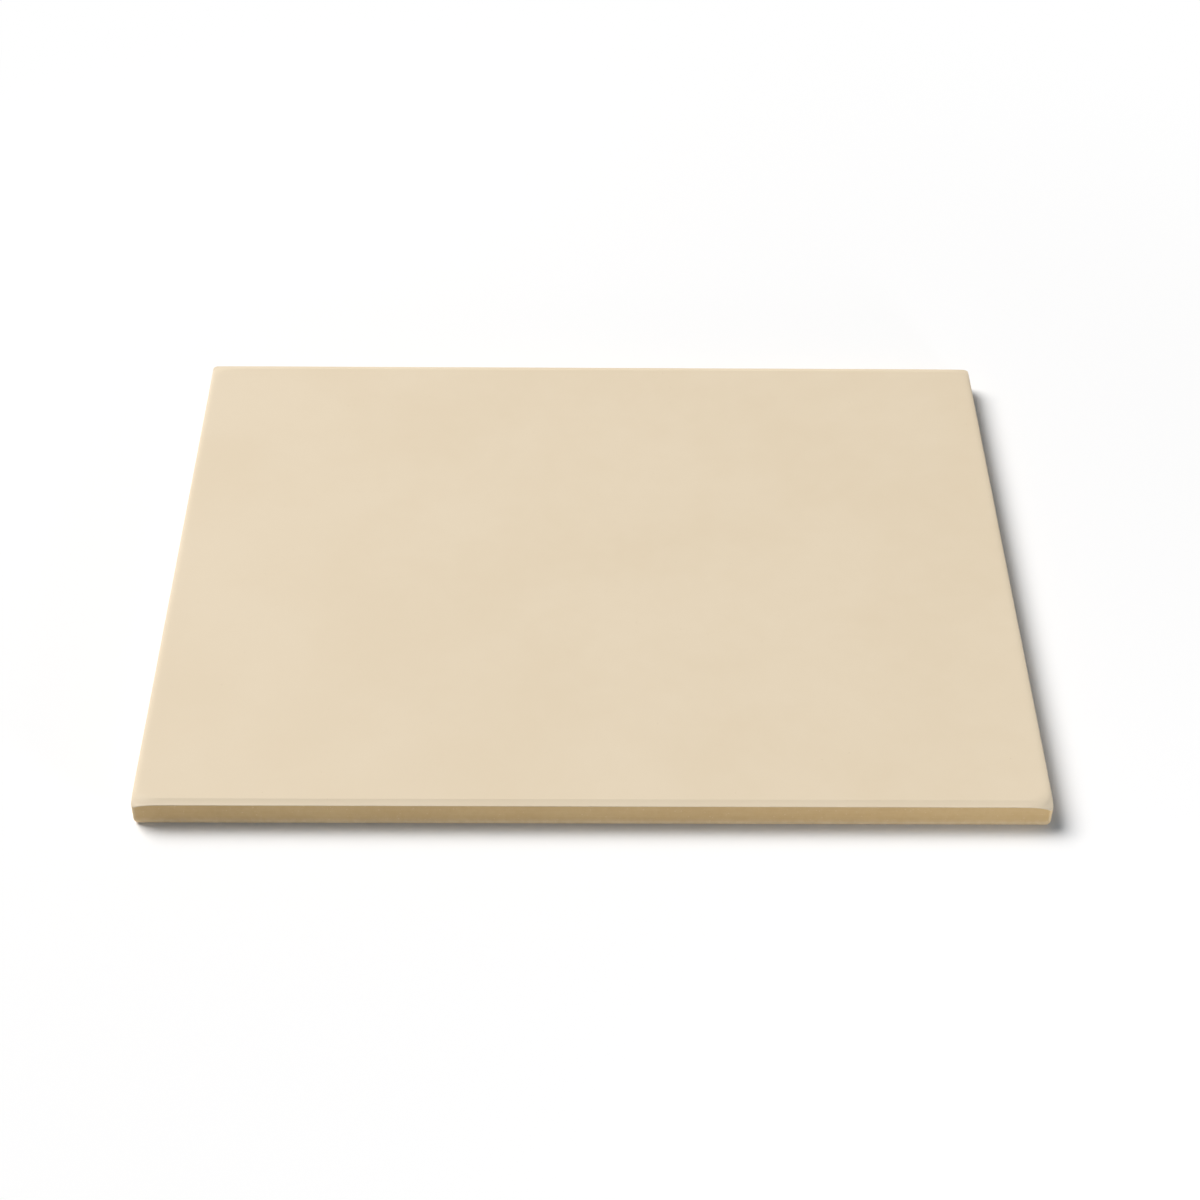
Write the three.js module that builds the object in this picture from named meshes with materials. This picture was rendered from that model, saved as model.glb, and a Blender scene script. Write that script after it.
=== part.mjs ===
// A rectangular pizza stone: a pressed and fired cordierite slab with a cream glaze fused to its top.
// Units are millimetres. +X runs along the long side, +Y towards the back and +Z up.
// The origin lies under the middle of the slab, in the plane that it rests on.

import * as THREE from "three";

// Overall size, over the glaze
const STONE_WIDTH = 380;
const STONE_DEPTH = 300;
const STONE_HEIGHT = 12.5;
const CORNER_RADIUS = 2; // upright corners, seen from above
const SHARPEST_CORNER = 0.4; // least corner radius of an outline that lies inside the stone's own
const FOOT_RADIUS = 2; // rounding of the lower edge

// Glaze
const FACE_GLAZE = 0.75; // thickness on the baking face
const EDGE_GLAZE = 0.25; // thickness at the edge, where it ends in a round nose
const RIM_WIDTH = 2.85; // band along the edge of the face, where the glaze thins

// Straight pieces in each round stretch
const CORNER_STEPS = 8;
const ARC_STEPS = 6;
const RIM_STEPS = 6;

// Finishes
const BODY_FINISH = { color: 0xcaad80, roughness: 0.9, metalness: 0 };
const GLAZE_FINISH = { color: 0xe2d1b7, roughness: 0.6, metalness: 0 };

// Levels above the rest plane
const bodyTop = STONE_HEIGHT - FACE_GLAZE;
const rimLevel = bodyTop + EDGE_GLAZE;

// Inset of the baking face from the stone's outline
const faceInset = EDGE_GLAZE + RIM_WIDTH;

const UP = Math.PI / 2;
const OUT = Math.PI;
const DOWN = Math.PI * 1.5;

// Points of a quarter circle in a profile of (inset, height), turning clockwise between two directions.
function arc(centreInset, centreHeight, radius, from, to) {
  const curve = new THREE.EllipseCurve(centreInset, centreHeight, radius, radius, from, to, true);
  return curve.getPoints(ARC_STEPS);
}

// The body from its underside, round the foot and up the side.
function bodyProfile() {
  const foot = arc(FOOT_RADIUS, FOOT_RADIUS, FOOT_RADIUS, DOWN, OUT);
  return [...foot, new THREE.Vector2(0, bodyTop)];
}

// The glaze from the edge of the body's top, over its round nose and the rim to the baking face.
// It is thinnest at the edge and thickens along a parabola to the inner side of the rim.
function glazeProfile() {
  const nose = arc(EDGE_GLAZE, bodyTop, EDGE_GLAZE, OUT, UP);
  const rim = new THREE.QuadraticBezierCurve(
    new THREE.Vector2(EDGE_GLAZE, rimLevel),
    new THREE.Vector2(EDGE_GLAZE + RIM_WIDTH / 2, rimLevel),
    new THREE.Vector2(faceInset, STONE_HEIGHT),
  );
  return [...nose, ...rim.getPoints(RIM_STEPS).slice(1)];
}

// Level outline of the stone, drawn in by an inset: a rectangle with round corners, anticlockwise from its
// front right corner.
function outline(inset, height) {
  const radius = Math.max(CORNER_RADIUS - inset, SHARPEST_CORNER);
  const x = STONE_WIDTH / 2 - inset - radius;
  const y = STONE_DEPTH / 2 - inset - radius;
  const shape = new THREE.Path();
  shape.absarc(x, -y, radius, -UP, 0, false);
  shape.absarc(x, y, radius, 0, UP, false);
  shape.absarc(-x, y, radius, UP, OUT, false);
  shape.absarc(-x, -y, radius, OUT, DOWN, false);
  const points = shape.getPoints(CORNER_STEPS / 2); // each arc gets twice the steps asked for
  return points.map((point) => new THREE.Vector3(point.x, point.y, height));
}

// Two triangles over four corners given anticlockwise.
function quad(a, b, c, d) {
  return [a, b, c, a, c, d];
}

// A closed body whose outlines follow a profile, with a flat end face inside the first and the last of them.
// Each end face is a ladder of strips from the right half of its outline to the mirrored left half.
function loft(profile) {
  const rings = profile.map((point) => outline(point.x, point.y));
  const count = rings[0].length;
  const last = rings.length - 1;
  const corner = (ring, i) => ring * count + (i % count);
  const faces = [];
  for (let ring = 0; ring < last; ring += 1) {
    for (let i = 0; i < count; i += 1) {
      faces.push(...quad(corner(ring, i), corner(ring, i + 1), corner(ring + 1, i + 1), corner(ring + 1, i)));
    }
  }
  for (let i = 0; i + 1 < count / 2; i += 1) {
    const mirrored = count - 1 - i;
    faces.push(...quad(corner(0, i), corner(0, mirrored), corner(0, mirrored - 1), corner(0, i + 1)));
    faces.push(...quad(corner(last, i), corner(last, i + 1), corner(last, mirrored - 1), corner(last, mirrored)));
  }
  const geometry = new THREE.BufferGeometry().setFromPoints(rings.flat());
  geometry.setIndex(faces);
  geometry.computeVertexNormals();
  return geometry;
}

function piece(name, profile, finish) {
  const mesh = new THREE.Mesh(loft(profile), new THREE.MeshStandardMaterial(finish));
  mesh.name = name;
  return mesh;
}

const pizzaStone = new THREE.Group();
pizzaStone.name = "pizza_stone";
pizzaStone.add(piece("stone_body", bodyProfile(), BODY_FINISH));
pizzaStone.add(piece("glaze_coat", glazeProfile(), GLAZE_FINISH));

export default pizzaStone;
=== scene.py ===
# The pizza stone as it looks: a pressed and fired cordierite slab with a satin cream glaze on top.
# Shapes are worked out in millimetres and become metres when a mesh is finished.

import math

import bmesh
import bpy
from mathutils import Matrix, Vector, noise


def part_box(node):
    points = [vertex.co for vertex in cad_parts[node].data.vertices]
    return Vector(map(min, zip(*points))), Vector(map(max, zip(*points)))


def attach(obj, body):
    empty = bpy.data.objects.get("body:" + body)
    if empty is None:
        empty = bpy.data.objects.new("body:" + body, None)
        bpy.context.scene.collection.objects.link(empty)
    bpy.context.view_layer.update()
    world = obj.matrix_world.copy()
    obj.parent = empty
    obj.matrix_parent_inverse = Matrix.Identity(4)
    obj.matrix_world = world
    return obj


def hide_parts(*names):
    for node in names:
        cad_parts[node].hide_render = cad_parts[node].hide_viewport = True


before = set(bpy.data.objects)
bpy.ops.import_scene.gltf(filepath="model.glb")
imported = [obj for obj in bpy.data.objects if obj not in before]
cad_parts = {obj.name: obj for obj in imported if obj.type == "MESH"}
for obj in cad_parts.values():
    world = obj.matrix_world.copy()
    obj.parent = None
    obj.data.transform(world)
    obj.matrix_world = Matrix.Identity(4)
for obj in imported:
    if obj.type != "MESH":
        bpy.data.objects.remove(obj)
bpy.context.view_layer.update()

MM = 0.001

# Stone, measured on the frame
glaze_low, glaze_high = (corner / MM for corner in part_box("glaze_coat"))
STONE_WIDTH = glaze_high.x - glaze_low.x
STONE_DEPTH = glaze_high.y - glaze_low.y
STONE_TOP = glaze_high.z
BODY_TOP = glaze_low.z

# Roundings of the stone, and the rim along which the glaze thins towards its edge
CORNER_RADIUS = 2.0
FOOT_RADIUS = 2.0
EDGE_GLAZE = 0.25  # thickness at the edge
RIM_WIDTH = 2.85
RIM_LEVEL = BODY_TOP + EDGE_GLAZE
FACE_INSET = EDGE_GLAZE + RIM_WIDTH
RIM_BLEND = 8.0  # how near a corner the rims of two sides run into each other
END_FULLNESS = 2.5  # of the rounded rim at the short ends, where 2 would make an ellipse

# Fall of the rim: most at the corners, a little along the long sides, and wandering all round
CORNER_FALLS = {(-1, -1): 1.6, (1, -1): 2.1, (-1, 1): 0.3, (1, 1): 0.4}  # by the signs of x and y
CORNER_REACH = 3.0  # run over which a corner's fall dies away
LONG_SIDE_FALL = 0.26
WANDER_FALL = 0.12
WANDER_LENGTH = 21.0
FALL_SHAPE = 1.5  # a higher value keeps the fall nearer to the edge

# Fineness of the meshes
CORNER_STEPS = 10
ARC_STEPS = 10
RIM_STEPS = 8
SHARP_TURN = math.radians(12)  # an edge that turns further than this is crisp
HOLDING_RUN = 0.3  # narrow strip that keeps a flat face flat beside a rounding
LINE_SPACING = 8.0  # between the grid lines across a face
END_LINES = (1.3, 1.8, 2.4, 3.1, 4.0, 5.1, 6.5, 8.2, 10.4, 13.2, 16.8)  # closer lines, from an end

# Camera, as in the photograph
CAMERA_PLACE = Vector((-0.0074, -0.81544, 0.73190))
CAMERA_PITCH = 42.302  # degrees below the horizon
CAMERA_YAW = 0.786  # degrees to the right of straight ahead
CAMERA_ROLL = 0.727  # degrees anticlockwise
CAMERA_LENS = 71.324
CAMERA_SENSOR = 36.0

# Light. A level is the brightness that a lamp gives a white card that faces it.
KEY_LEVEL = 1.155
KEY_COLOUR = (1.03, 1.0, 0.97)
KEY_AZIMUTH = 145.0  # degrees anticlockwise from +X, as seen from above
KEY_ELEVATION = 49.0
KEY_DISTANCE = 14.0
KEY_SIZE = 8.5
FILL_LEVEL = 0.21
FILL_COLOUR = (0.98, 1.0, 1.05)
FILL_AZIMUTH = -54.0
FILL_ELEVATION = 6.0
FILL_DISTANCE = 0.85
FILL_SIZE = 0.15
ROOM_LEVEL = 0.12
ROOM_COLOUR = (0.80, 1.0, 1.20, 1.0)
BACKDROP_LEVEL = 1.0
BACKDROP_COLOUR = (1.0, 1.0, 1.0, 1.0)
FLOOR_SIZE = 8.0
FLOOR_FADE = (0.30, 0.60)  # run, from the middle of the stone, over which the floor turns into backdrop
FLOOR_TONE = 0.98
FLOOR_GAP = 0.02 * MM

# Clouds of tone from the firing
CLOUD_DETAIL = 3.0
CLOUD_ROUGHNESS = 0.55
CLOUD_SPAN = (0.3, 0.7)  # part of the noise that is stretched over the whole tone

# Flecks, which differ in size
SMALLEST_FLECK = 0.5  # as a share of the radius that is given, where the largest is 1 more
FLECK_CORE = 0.55  # share of a fleck's radius that has its full strength

# Glaze: its linear colours, clouds, specks, pinholes and orange peel
CREAM = (0.715, 0.596, 0.428, 1.0)
PALE_CREAM = (0.740, 0.625, 0.460, 1.0)
GLAZE_SPECK = (0.430, 0.300, 0.180, 1.0)
BROAD_GLAZE_CLOUD = 70.0
CLOSE_GLAZE_CLOUD = 9.0
BROAD_GLAZE_SHARE = 0.7  # of the tone
CLOSE_GLAZE_SHARE = 0.3
GLAZE_ROUGHNESS = (0.58, 0.66)
SPECKS = {"Spacing": 4 * MM, "Radius": 0.2 * MM, "Share": 0.3}
SPECK_STRENGTH = 0.35
PINHOLES = {"Spacing": 7 * MM, "Radius": 0.16 * MM, "Share": 0.4}
PINHOLE_DEPTH = 3.0  # where the peel's height is 1
PEEL_SIZE = 1.6
PEEL_DETAIL = 1.0
GLAZE_RELIEF = {"Strength": 0.3, "Distance": 0.03 * MM}

# Bare clay: its linear colours, clouds, press streaks, grog, pores with painted shade in them, and grain
BUFF = (0.565, 0.385, 0.180, 1.0)
PALE_BUFF = (0.625, 0.447, 0.223, 1.0)
GROG_TONE = (0.860, 0.700, 0.470, 1.0)
PORE_SHADE_TONE = (0.330, 0.210, 0.105, 1.0)
BROAD_CLAY_CLOUD = 45.0
CLOSE_CLAY_CLOUD = 3.0
STREAK_HEIGHT = 0.8
STREAK_DRAW = (0.03, 0.03, 1.0)  # draws the streaks out level
BROAD_CLAY_SHARE = 0.45  # of the tone
CLOSE_CLAY_SHARE = 0.3
STREAK_SHARE = 0.25
CLAY_ROUGHNESS = (0.95, 0.85)
GROG = {"Spacing": 1.1 * MM, "Radius": 0.3 * MM, "Share": 0.5}
GROG_STRENGTH = 0.35
GROG_HEIGHT = 0.3  # where the grain's height is 1
PORES = {"Spacing": 1.7 * MM, "Radius": 0.2 * MM, "Share": 0.35}
PORE_SHADE_STRENGTH = 0.5
PORE_DEPTH = 1.5
GRAIN_SIZE = 0.5
GRAIN_DETAIL = 2.0
CLAY_RELIEF = {"Strength": 0.5, "Distance": 0.08 * MM}

# Where the bare clay is paler: partly rubbed by handling, partly painted light that lifts the shade low
# on the sides and paints a highlight on the upright corners
RUBBED_AND_LIT_BUFF = (0.800, 0.630, 0.420, 1.0)
RUBBED_AND_LIT_HEIGHT = 5.0  # up from the foot
RUBBED_INSET = 4.0  # in from the stone's outline, on the underside
RUBBING_AND_LIGHT = (0.65, 0.95)  # least and most, in the clouds of the clay
CORNER_RUBBING_AND_LIGHT = 0.7  # at the upright corners, as a share of that at the foot
CORNER_CORE = 0.4  # share of a corner's radius that is rubbed and lightened evenly


# Shapes

def arc(centre_inset, centre_height, radius, start, end):
    """Points of a circle's stretch between two angles, as (inset, height)."""
    turn = (end - start) / ARC_STEPS
    angles = [math.radians(start + turn * step) for step in range(ARC_STEPS + 1)]
    return [(centre_inset - radius * math.cos(a), centre_height + radius * math.sin(a)) for a in angles]


def grid_lines(length):
    """Places of the grid lines across a sheet of that length, closer together towards its ends."""
    half = length / 2
    inner = half - END_LINES[-1]
    spaces = round(2 * inner / LINE_SPACING)
    even = [inner * (2 * i / spaces - 1) for i in range(spaces + 1)]
    near_ends = [side * (half - run) for side in (-1, 1) for run in END_LINES[:-1]]
    return even + near_ends


def rounded_sheet(height):
    """A level sheet with the outline of the stone, cut along the grid lines."""
    bm = bmesh.new()
    place = Matrix.Translation((0, 0, height)) @ Matrix.Diagonal((STONE_WIDTH, STONE_DEPTH, 1, 1))
    bmesh.ops.create_grid(bm, x_segments=1, y_segments=1, size=0.5, matrix=place)
    bmesh.ops.bevel(bm, geom=bm.verts[:], offset=CORNER_RADIUS, segments=CORNER_STEPS,
                    profile=0.5, affect="VERTICES", material=-1)
    for axis, length in ((Vector((1, 0, 0)), STONE_WIDTH), (Vector((0, 1, 0)), STONE_DEPTH)):
        for line in grid_lines(length):
            everything = bm.verts[:] + bm.edges[:] + bm.faces[:]
            bmesh.ops.bisect_plane(bm, geom=everything, plane_co=axis * line, plane_no=axis)
    return bm


def edges_of(patch):
    """The edges of a patch of faces."""
    return list({edge for face in patch for edge in face.edges})


def carry(bm, patch, profile, keep_start=False):
    """Draws a level patch of faces along a profile of (inset, height)."""
    for (inset, height), (next_inset, next_height) in zip(profile, profile[1:]):
        region = patch + edges_of(patch)
        made = bmesh.ops.extrude_face_region(bm, geom=region, use_keep_orig=keep_start)["geom"]
        keep_start = False
        patch = [part for part in made if isinstance(part, bmesh.types.BMFace)]
        moved = [part for part in made if isinstance(part, bmesh.types.BMVert)]
        shrink = Vector(((STONE_WIDTH - 2 * next_inset) / (STONE_WIDTH - 2 * inset),
                         (STONE_DEPTH - 2 * next_inset) / (STONE_DEPTH - 2 * inset), 1))
        bmesh.ops.scale(bm, verts=moved, vec=shrink)
        bmesh.ops.translate(bm, verts=moved, vec=(0, 0, next_height - height))


def edge_profile():
    """The round nose at the edge of the glaze and the rim inside it, before the face is raised."""
    nose = arc(EDGE_GLAZE, BODY_TOP, EDGE_GLAZE, 0, 90)
    steps = [step / RIM_STEPS for step in range(1, RIM_STEPS + 1)]
    return nose + [(EDGE_GLAZE + RIM_WIDTH * step, RIM_LEVEL) for step in steps]


def seat_profile():
    """The level run under the glaze, with the same steps as its rim."""
    rim = edge_profile()[ARC_STEPS:]
    return [(0, BODY_TOP)] + [(inset, BODY_TOP) for inset, height in rim]


def to_sides(point):
    """How far a point lies from the nearest long side's line and the nearest short side's line."""
    return STONE_DEPTH / 2 - abs(point.y), STONE_WIDTH / 2 - abs(point.x)


def share_of(value):
    """A value held between 0 and 1."""
    return min(max(value, 0), 1)


def rim_inset(point):
    """How far a point lies inside the stone's edge, with an edge that is well rounded at the corners."""
    long_way, short_way = to_sides(point)
    overlap = max(RIM_BLEND - abs(long_way - short_way), 0)
    return min(long_way, short_way) - overlap ** 2 / (4 * RIM_BLEND)


def rim_share(point):
    """1 at the stone's edge, falling to 0 at the inner side of the rim."""
    return share_of((FACE_INSET - rim_inset(point)) / RIM_WIDTH)


def end_share(point):
    """1 beside the short ends and 0 beside the long sides, changing over smoothly at the corners."""
    long_way, short_way = to_sides(point)
    share = share_of(0.5 + (long_way - short_way) / (2 * RIM_BLEND))
    return share ** 2 * (3 - 2 * share)


def rim_rise(point):
    """How far the glaze rises to a point: in a hollow along the long sides, rounded at the ends."""
    hollow = (STONE_TOP - RIM_LEVEL) * (1 - rim_share(point)) ** 2
    outward = share_of(1 - rim_inset(point) / FACE_INSET)
    height = (1 - outward ** END_FULLNESS) ** (1 / END_FULLNESS)
    crown = BODY_TOP + (STONE_TOP - BODY_TOP) * height
    rounded = max(crown - point.z, 0)
    return hollow + (rounded - hollow) * end_share(point)


def rim_fall(point):
    """How far the top of the stone falls at a point: most at the corners, and nothing inside the rim."""
    past_corner = max(sum(to_sides(point)) - (2 - math.sqrt(2)) * CORNER_RADIUS, 0)
    corner_fall = CORNER_FALLS[math.copysign(1, point.x), math.copysign(1, point.y)]
    corner = corner_fall * math.exp(-past_corner / CORNER_REACH)
    side = LONG_SIDE_FALL * (1 - end_share(point))
    wander = WANDER_FALL * (0.5 + 0.5 * noise.noise(point / WANDER_LENGTH))
    return (corner + side + wander) * rim_share(point) ** FALL_SHAPE


def shape_top(bm):
    """Raises the face of the glaze inside its rim, and lets the stone's top fall towards its edge."""
    for vert in bm.verts:
        if vert.co.z < BODY_TOP - HOLDING_RUN:
            continue
        fall = rim_fall(vert.co)
        if vert.co.z > RIM_LEVEL - EDGE_GLAZE / 2:
            vert.co.z += rim_rise(vert.co)
        vert.co.z -= fall


def finish_piece(bm, name, material):
    """Shapes the top and makes an object in metres, on the stone's one body."""
    shape_top(bm)
    bmesh.ops.recalc_face_normals(bm, faces=bm.faces[:])
    bmesh.ops.scale(bm, verts=bm.verts[:], vec=(MM, MM, MM))
    for face in bm.faces:
        face.smooth = True
    for edge in bm.edges:
        edge.smooth = edge.calc_face_angle() < SHARP_TURN
    mesh = bpy.data.meshes.new(name)
    bm.to_mesh(mesh)
    bm.free()
    mesh.materials.append(material)
    piece = bpy.data.objects.new(name, mesh)
    bpy.context.scene.collection.objects.link(piece)
    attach(piece, "root")
    return piece


def fired_body(material):
    """The cordierite slab, round at its foot and crisp at its upper edge, under the glaze."""
    low = FOOT_RADIUS + HOLDING_RUN
    bm = rounded_sheet(low)
    underside = bm.faces[:]
    carry(bm, underside, [(0, low), *seat_profile()], keep_start=True)
    foot = arc(FOOT_RADIUS, FOOT_RADIUS, FOOT_RADIUS, 0, -90)
    carry(bm, underside, [(0, low), *foot, (FOOT_RADIUS + HOLDING_RUN, 0)])
    piece = finish_piece(bm, "fired_slab", material)
    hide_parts("stone_body")


def cream_coat(material):
    """The glaze: a coat on the slab's top, level inside its rim and thinnest at its round edge."""
    bm = rounded_sheet(BODY_TOP)
    underside = bm.faces[:]
    carry(bm, underside, edge_profile(), keep_start=True)
    carry(bm, underside, seat_profile())
    piece = finish_piece(bm, "cream_glaze", material)
    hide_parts("glaze_coat")


# Nodes

def put(tree, kind, inputs=None, **settings):
    """Adds a node with its settings, and sets or links its inputs by name or number."""
    made = tree.nodes.new(kind)
    for name, value in settings.items():
        setattr(made, name, value)
    for name, value in (inputs or {}).items():
        if isinstance(value, bpy.types.NodeSocket):
            tree.links.new(value, made.inputs[name])
        else:
            made.inputs[name].default_value = value
    return made


def maths(tree, operation, first, second=0.0):
    """The result of a sum on two values."""
    return put(tree, "ShaderNodeMath", {0: first, 1: second}, operation=operation).outputs[0]


def scaled(tree, value, factor):
    """A value times a factor, either of which may be a number or a socket."""
    return maths(tree, "MULTIPLY", value, factor)


def mixed(tree, share, first, second):
    """A colour that goes from the first to the second as the share goes from 0 to 1."""
    made = put(tree, "ShaderNodeMix", {0: share, 6: first, 7: second}, data_type="RGBA")
    return made.outputs[2]


def stretched(tree, value, low, high, to_low=0.0, to_high=1.0):
    """A value moved smoothly from one range to another, and held at its ends."""
    inputs = {"Value": value, "From Min": low, "From Max": high, "To Min": to_low, "To Max": to_high}
    return put(tree, "ShaderNodeMapRange", inputs, interpolation_type="SMOOTHSTEP").outputs[0]


def new_group(name, inputs, output):
    """A shader node group, its input sockets and its one output socket."""
    group = bpy.data.node_groups.new(name, "ShaderNodeTree")
    for label, kind in inputs:
        group.interface.new_socket(label, in_out="INPUT", socket_type=kind)
    group.interface.new_socket(output, in_out="OUTPUT", socket_type="NodeSocketFloat")
    start = group.nodes.new("NodeGroupInput")
    end = group.nodes.new("NodeGroupOutput")
    return group, start.outputs, end.inputs[0]


def cloud_group():
    """Soft patches of tone from the firing, from 0 to 1, of a given size."""
    inputs = [("Vector", "NodeSocketVector"), ("Size", "NodeSocketFloat")]
    group, given, result = new_group("kiln_cloud", inputs, "Tone")
    scale = maths(group, "DIVIDE", 1.0, given["Size"])
    pattern = {"Vector": given["Vector"], "Scale": scale,
               "Detail": CLOUD_DETAIL, "Roughness": CLOUD_ROUGHNESS}
    clouds = put(group, "ShaderNodeTexNoise", pattern).outputs[0]
    group.links.new(stretched(group, clouds, *CLOUD_SPAN), result)
    return group


def fleck_group():
    """Scattered round flecks as a mask: how far apart, how large, and the share of places with one."""
    inputs = [("Vector", "NodeSocketVector"), ("Spacing", "NodeSocketFloat"),
              ("Radius", "NodeSocketFloat"), ("Share", "NodeSocketFloat")]
    group, given, result = new_group("scattered_flecks", inputs, "Mask")
    scale = maths(group, "DIVIDE", 1.0, given["Spacing"])
    cells = put(group, "ShaderNodeTexVoronoi", {"Vector": given["Vector"], "Scale": scale})
    lot = put(group, "ShaderNodeSeparateColor", {0: cells.outputs["Color"]})
    away = scaled(group, cells.outputs["Distance"], given["Spacing"])
    reach = scaled(group, given["Radius"], maths(group, "ADD", lot.outputs[0], SMALLEST_FLECK))
    spot = stretched(group, away, scaled(group, reach, FLECK_CORE), reach, 1.0, 0.0)
    kept = maths(group, "LESS_THAN", lot.outputs[1], given["Share"])
    group.links.new(scaled(group, spot, kept), result)
    return group


def placed(tree, group, inputs):
    """The output of a node group that is placed with its own values."""
    return put(tree, "ShaderNodeGroup", inputs, node_tree=group).outputs[0]


def new_finish(name):
    """A material with its Principled BSDF and its Object coordinates."""
    material = bpy.data.materials.new(name)
    material.use_nodes = True
    tree = material.node_tree
    shader = tree.nodes["Principled BSDF"]
    place = put(tree, "ShaderNodeTexCoord").outputs["Object"]
    return material, tree, shader, place


def raise_surface(tree, shader, height, relief):
    """Gives a material the small relief of a height, as strong and as deep as the relief says."""
    bump = put(tree, "ShaderNodeBump", {"Height": height, **relief})
    tree.links.new(bump.outputs[0], shader.inputs["Normal"])


# Finishes

def glaze_finish(cloud, fleck):
    """Satin cream glaze: faint clouds, a few iron specks, pinholes and a soft orange-peel surface."""
    material, tree, shader, place = new_finish("satin_cream_glaze")
    broad = placed(tree, cloud, {"Vector": place, "Size": BROAD_GLAZE_CLOUD * MM})
    close = placed(tree, cloud, {"Vector": place, "Size": CLOSE_GLAZE_CLOUD * MM})
    broad_tone = scaled(tree, broad, BROAD_GLAZE_SHARE)
    close_tone = scaled(tree, close, CLOSE_GLAZE_SHARE)
    specks = placed(tree, fleck, {"Vector": place, **SPECKS})
    colour = mixed(tree, maths(tree, "ADD", broad_tone, close_tone), CREAM, PALE_CREAM)
    colour = mixed(tree, scaled(tree, specks, SPECK_STRENGTH), colour, GLAZE_SPECK)
    tree.links.new(colour, shader.inputs["Base Color"])
    tree.links.new(stretched(tree, close, 0.0, 1.0, *GLAZE_ROUGHNESS), shader.inputs["Roughness"])
    pattern = {"Vector": place, "Scale": 1 / (PEEL_SIZE * MM), "Detail": PEEL_DETAIL}
    peel = put(tree, "ShaderNodeTexNoise", pattern).outputs[0]
    pinholes = placed(tree, fleck, {"Vector": place, **PINHOLES})
    height = maths(tree, "SUBTRACT", peel, scaled(tree, pinholes, PINHOLE_DEPTH))
    raise_surface(tree, shader, height, GLAZE_RELIEF)
    return material


def rubbed_and_lit_edges(tree, place):
    """1 along the foot and less on the upright corners, where the clay is made paler: partly rubbed by
    handling, partly painted light against the shade low on the sides and a painted highlight on the
    corners.
    """
    across, along, up = put(tree, "ShaderNodeSeparateXYZ", {0: place}).outputs
    from_end = maths(tree, "SUBTRACT", STONE_WIDTH / 2 * MM, maths(tree, "ABSOLUTE", across))
    from_side = maths(tree, "SUBTRACT", STONE_DEPTH / 2 * MM, maths(tree, "ABSOLUTE", along))
    from_corner = maths(tree, "MAXIMUM", from_end, from_side)
    from_outline = maths(tree, "MINIMUM", from_end, from_side)
    even = CORNER_CORE * CORNER_RADIUS
    corner = stretched(tree, from_corner, even * MM, CORNER_RADIUS * MM, CORNER_RUBBING_AND_LIGHT, 0.0)
    low = stretched(tree, up, 0.0, RUBBED_AND_LIT_HEIGHT * MM, 1.0, 0.0)
    outer = stretched(tree, from_outline, FOOT_RADIUS * MM, RUBBED_INSET * MM, 1.0, 0.0)
    return maths(tree, "MAXIMUM", corner, scaled(tree, low, outer))


def body_finish(cloud, fleck):
    """Bare cordierite: buff clay with pale grog, open pores darkened with painted shade, and the fine
    level streaks of the press.
    """
    material, tree, shader, place = new_finish("bare_buff_cordierite")
    broad = placed(tree, cloud, {"Vector": place, "Size": BROAD_CLAY_CLOUD * MM})
    close = placed(tree, cloud, {"Vector": place, "Size": CLOSE_CLAY_CLOUD * MM})
    drawn = put(tree, "ShaderNodeMapping", {"Vector": place, "Scale": STREAK_DRAW}).outputs[0]
    streaks = placed(tree, cloud, {"Vector": drawn, "Size": STREAK_HEIGHT * MM})
    broad_tone = scaled(tree, broad, BROAD_CLAY_SHARE)
    close_tone = scaled(tree, close, CLOSE_CLAY_SHARE)
    cloud_tone = maths(tree, "ADD", broad_tone, close_tone)
    tone = maths(tree, "ADD", cloud_tone, scaled(tree, streaks, STREAK_SHARE))
    grog = placed(tree, fleck, {"Vector": place, **GROG})
    pores = placed(tree, fleck, {"Vector": place, **PORES})
    rubbed_and_lit = scaled(tree, rubbed_and_lit_edges(tree, place), stretched(tree, close, 0.0, 1.0, *RUBBING_AND_LIGHT))
    colour = mixed(tree, tone, BUFF, PALE_BUFF)
    # painted light: the paler rubbed tone also lifts the shade low on the sides and lights the upright
    # corners
    colour = mixed(tree, rubbed_and_lit, colour, RUBBED_AND_LIT_BUFF)
    colour = mixed(tree, scaled(tree, grog, GROG_STRENGTH), colour, GROG_TONE)
    # painted shade: the pores are darkened as if shaded inside
    colour = mixed(tree, scaled(tree, pores, PORE_SHADE_STRENGTH), colour, PORE_SHADE_TONE)
    tree.links.new(colour, shader.inputs["Base Color"])
    tree.links.new(stretched(tree, close, 0.0, 1.0, *CLAY_ROUGHNESS), shader.inputs["Roughness"])
    pattern = {"Vector": place, "Scale": 1 / (GRAIN_SIZE * MM), "Detail": GRAIN_DETAIL}
    grain = put(tree, "ShaderNodeTexNoise", pattern).outputs[0]
    raised = maths(tree, "ADD", grain, scaled(tree, grog, GROG_HEIGHT))
    height = maths(tree, "SUBTRACT", raised, scaled(tree, pores, PORE_DEPTH))
    raise_surface(tree, shader, height, CLAY_RELIEF)
    return material


# Studio

def backdrop_ray(tree):
    """1 for a ray that shows the backdrop itself, in the picture, in a reflection or through glass."""
    ray = put(tree, "ShaderNodeLightPath").outputs
    seen = maths(tree, "MAXIMUM", ray["Is Camera Ray"], ray["Is Glossy Ray"])
    return maths(tree, "MAXIMUM", seen, ray["Is Transmission Ray"])


def white_room():
    """Even light from all sides, in front of a white backdrop."""
    world = bpy.data.worlds.new("white_room")
    world.use_nodes = True
    tree = world.node_tree
    background = tree.nodes["Background"]
    seen = backdrop_ray(tree)
    level = stretched(tree, seen, 0.0, 1.0, ROOM_LEVEL, BACKDROP_LEVEL)
    tree.links.new(level, background.inputs["Strength"])
    tree.links.new(mixed(tree, seen, ROOM_COLOUR, BACKDROP_COLOUR), background.inputs["Color"])
    bpy.context.scene.world = world


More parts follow.
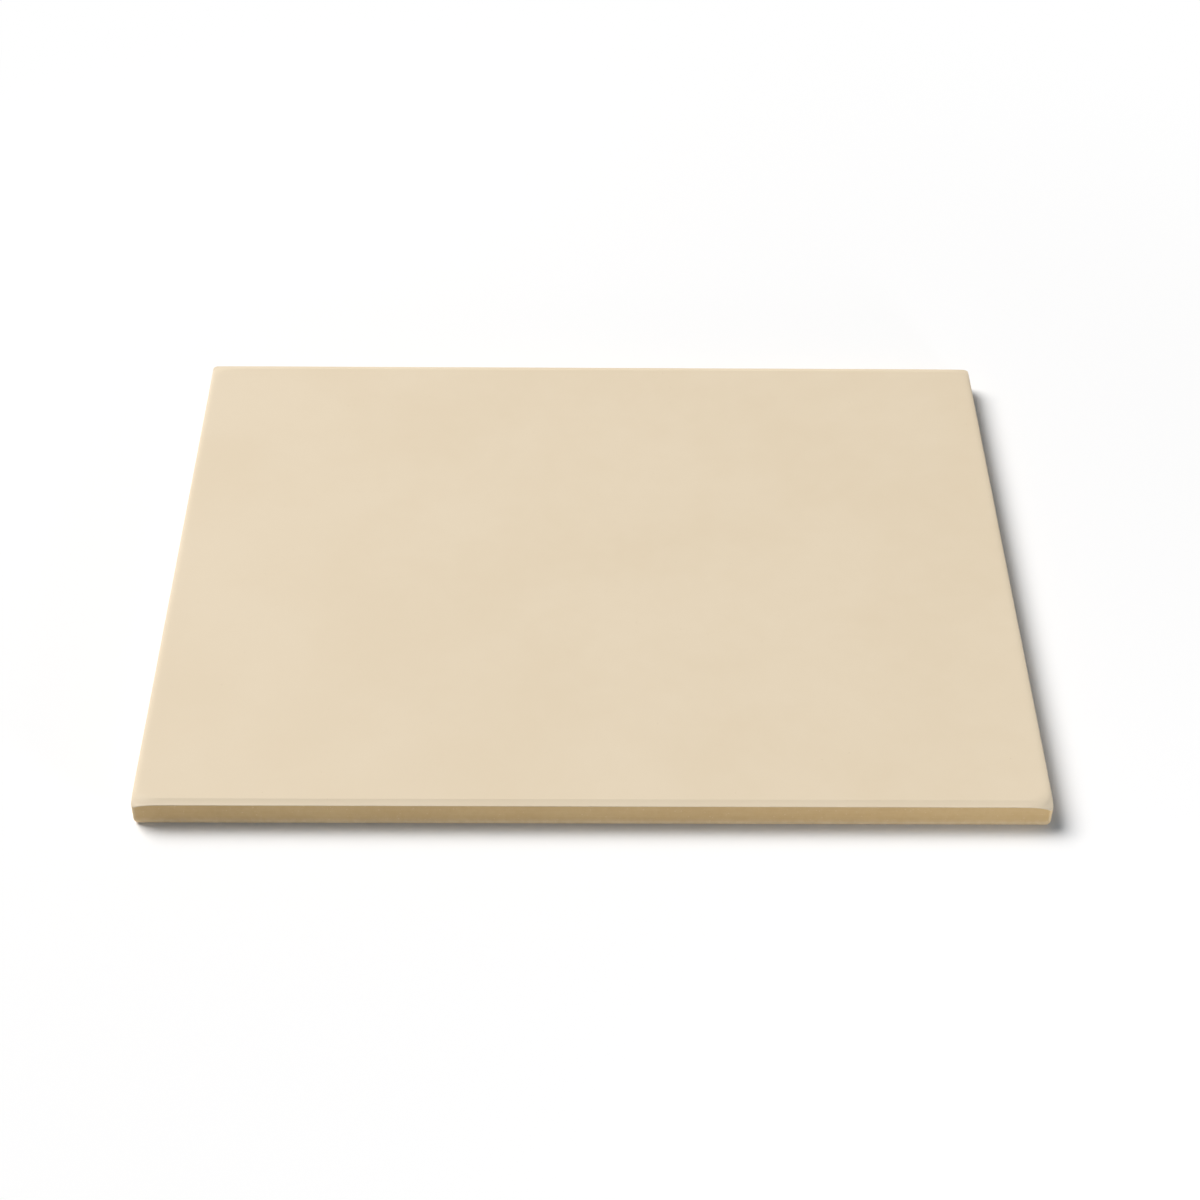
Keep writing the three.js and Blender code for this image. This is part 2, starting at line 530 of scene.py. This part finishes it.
def floor_finish():
    """Matte white that keeps a shadow, and turns into the backdrop away from the stone."""
    material, tree, shader, place = new_finish("white_floor")
    shader.inputs["Base Color"].default_value = (FLOOR_TONE, FLOOR_TONE, FLOOR_TONE, 1)
    shader.inputs["Roughness"].default_value = 1.0
    shader.inputs["Specular IOR Level"].default_value = 0.0
    away = put(tree, "ShaderNodeVectorMath", {0: place}, operation="LENGTH").outputs["Value"]
    faded = scaled(tree, stretched(tree, away, *FLOOR_FADE), backdrop_ray(tree))
    glow = put(tree, "ShaderNodeEmission", {"Color": BACKDROP_COLOUR, "Strength": BACKDROP_LEVEL})
    surface = put(tree, "ShaderNodeMixShader", {0: faded, 1: shader.outputs[0], 2: glow.outputs[0]})
    tree.links.new(surface.outputs[0], tree.nodes["Material Output"].inputs["Surface"])
    return material


def pale_floor(material):
    """A wide floor that lies just under the stone."""
    bm = bmesh.new()
    level = Matrix.Translation((0, 0, -FLOOR_GAP))
    bmesh.ops.create_grid(bm, x_segments=1, y_segments=1, size=FLOOR_SIZE / 2, matrix=level)
    mesh = bpy.data.meshes.new("floor")
    bm.to_mesh(mesh)
    bm.free()
    mesh.materials.append(material)
    floor = bpy.data.objects.new("floor", mesh)
    bpy.context.scene.collection.objects.link(floor)


def softbox(name, level, colour, azimuth, elevation, distance, size):
    """A square soft lamp aimed at the middle of the stone."""
    lamp = bpy.data.lights.new(name, "AREA")
    lamp.shape = "SQUARE"
    lamp.size = size
    lamp.color = colour
    half_width = size / 2 / math.hypot(distance, size / 2)
    view = 4 / math.pi * half_width * math.atan(half_width)  # share of what the card faces
    lamp.energy = level * math.pi * size ** 2 / view
    box = bpy.data.objects.new(name, lamp)
    across = math.cos(math.radians(elevation))
    towards = Vector((across * math.cos(math.radians(azimuth)),
                      across * math.sin(math.radians(azimuth)),
                      math.sin(math.radians(elevation))))
    turn = towards.to_track_quat("Z", "Y").to_matrix().to_4x4()
    box.matrix_world = Matrix.Translation(towards * distance) @ turn
    box.visible_camera = False
    bpy.context.scene.collection.objects.link(box)
    return box


def photo_camera():
    """The camera of the photograph: a square frame with no shift."""
    lens = bpy.data.cameras.new("photo_camera")
    lens.lens = CAMERA_LENS
    lens.sensor_width = CAMERA_SENSOR
    camera = bpy.data.objects.new("photo_camera", lens)
    yaw = Matrix.Rotation(math.radians(-CAMERA_YAW), 4, "Z")
    pitch = Matrix.Rotation(math.radians(90 - CAMERA_PITCH), 4, "X")
    roll = Matrix.Rotation(math.radians(CAMERA_ROLL), 4, "Z")
    camera.matrix_world = Matrix.Translation(CAMERA_PLACE) @ yaw @ pitch @ roll
    bpy.context.scene.collection.objects.link(camera)
    bpy.context.scene.camera = camera


photo_camera()
white_room()
pale_floor(floor_finish())
softbox("key", KEY_LEVEL, KEY_COLOUR, KEY_AZIMUTH, KEY_ELEVATION, KEY_DISTANCE, KEY_SIZE)
fill = softbox("fill", FILL_LEVEL, FILL_COLOUR, FILL_AZIMUTH, FILL_ELEVATION, FILL_DISTANCE, FILL_SIZE)
fill.visible_glossy = False  # it only lightens the shaded sides
bpy.context.scene.view_settings.view_transform = "Standard"

kiln_cloud = cloud_group()
scattered_flecks = fleck_group()
fired_body(body_finish(kiln_cloud, scattered_flecks))
cream_coat(glaze_finish(kiln_cloud, scattered_flecks))
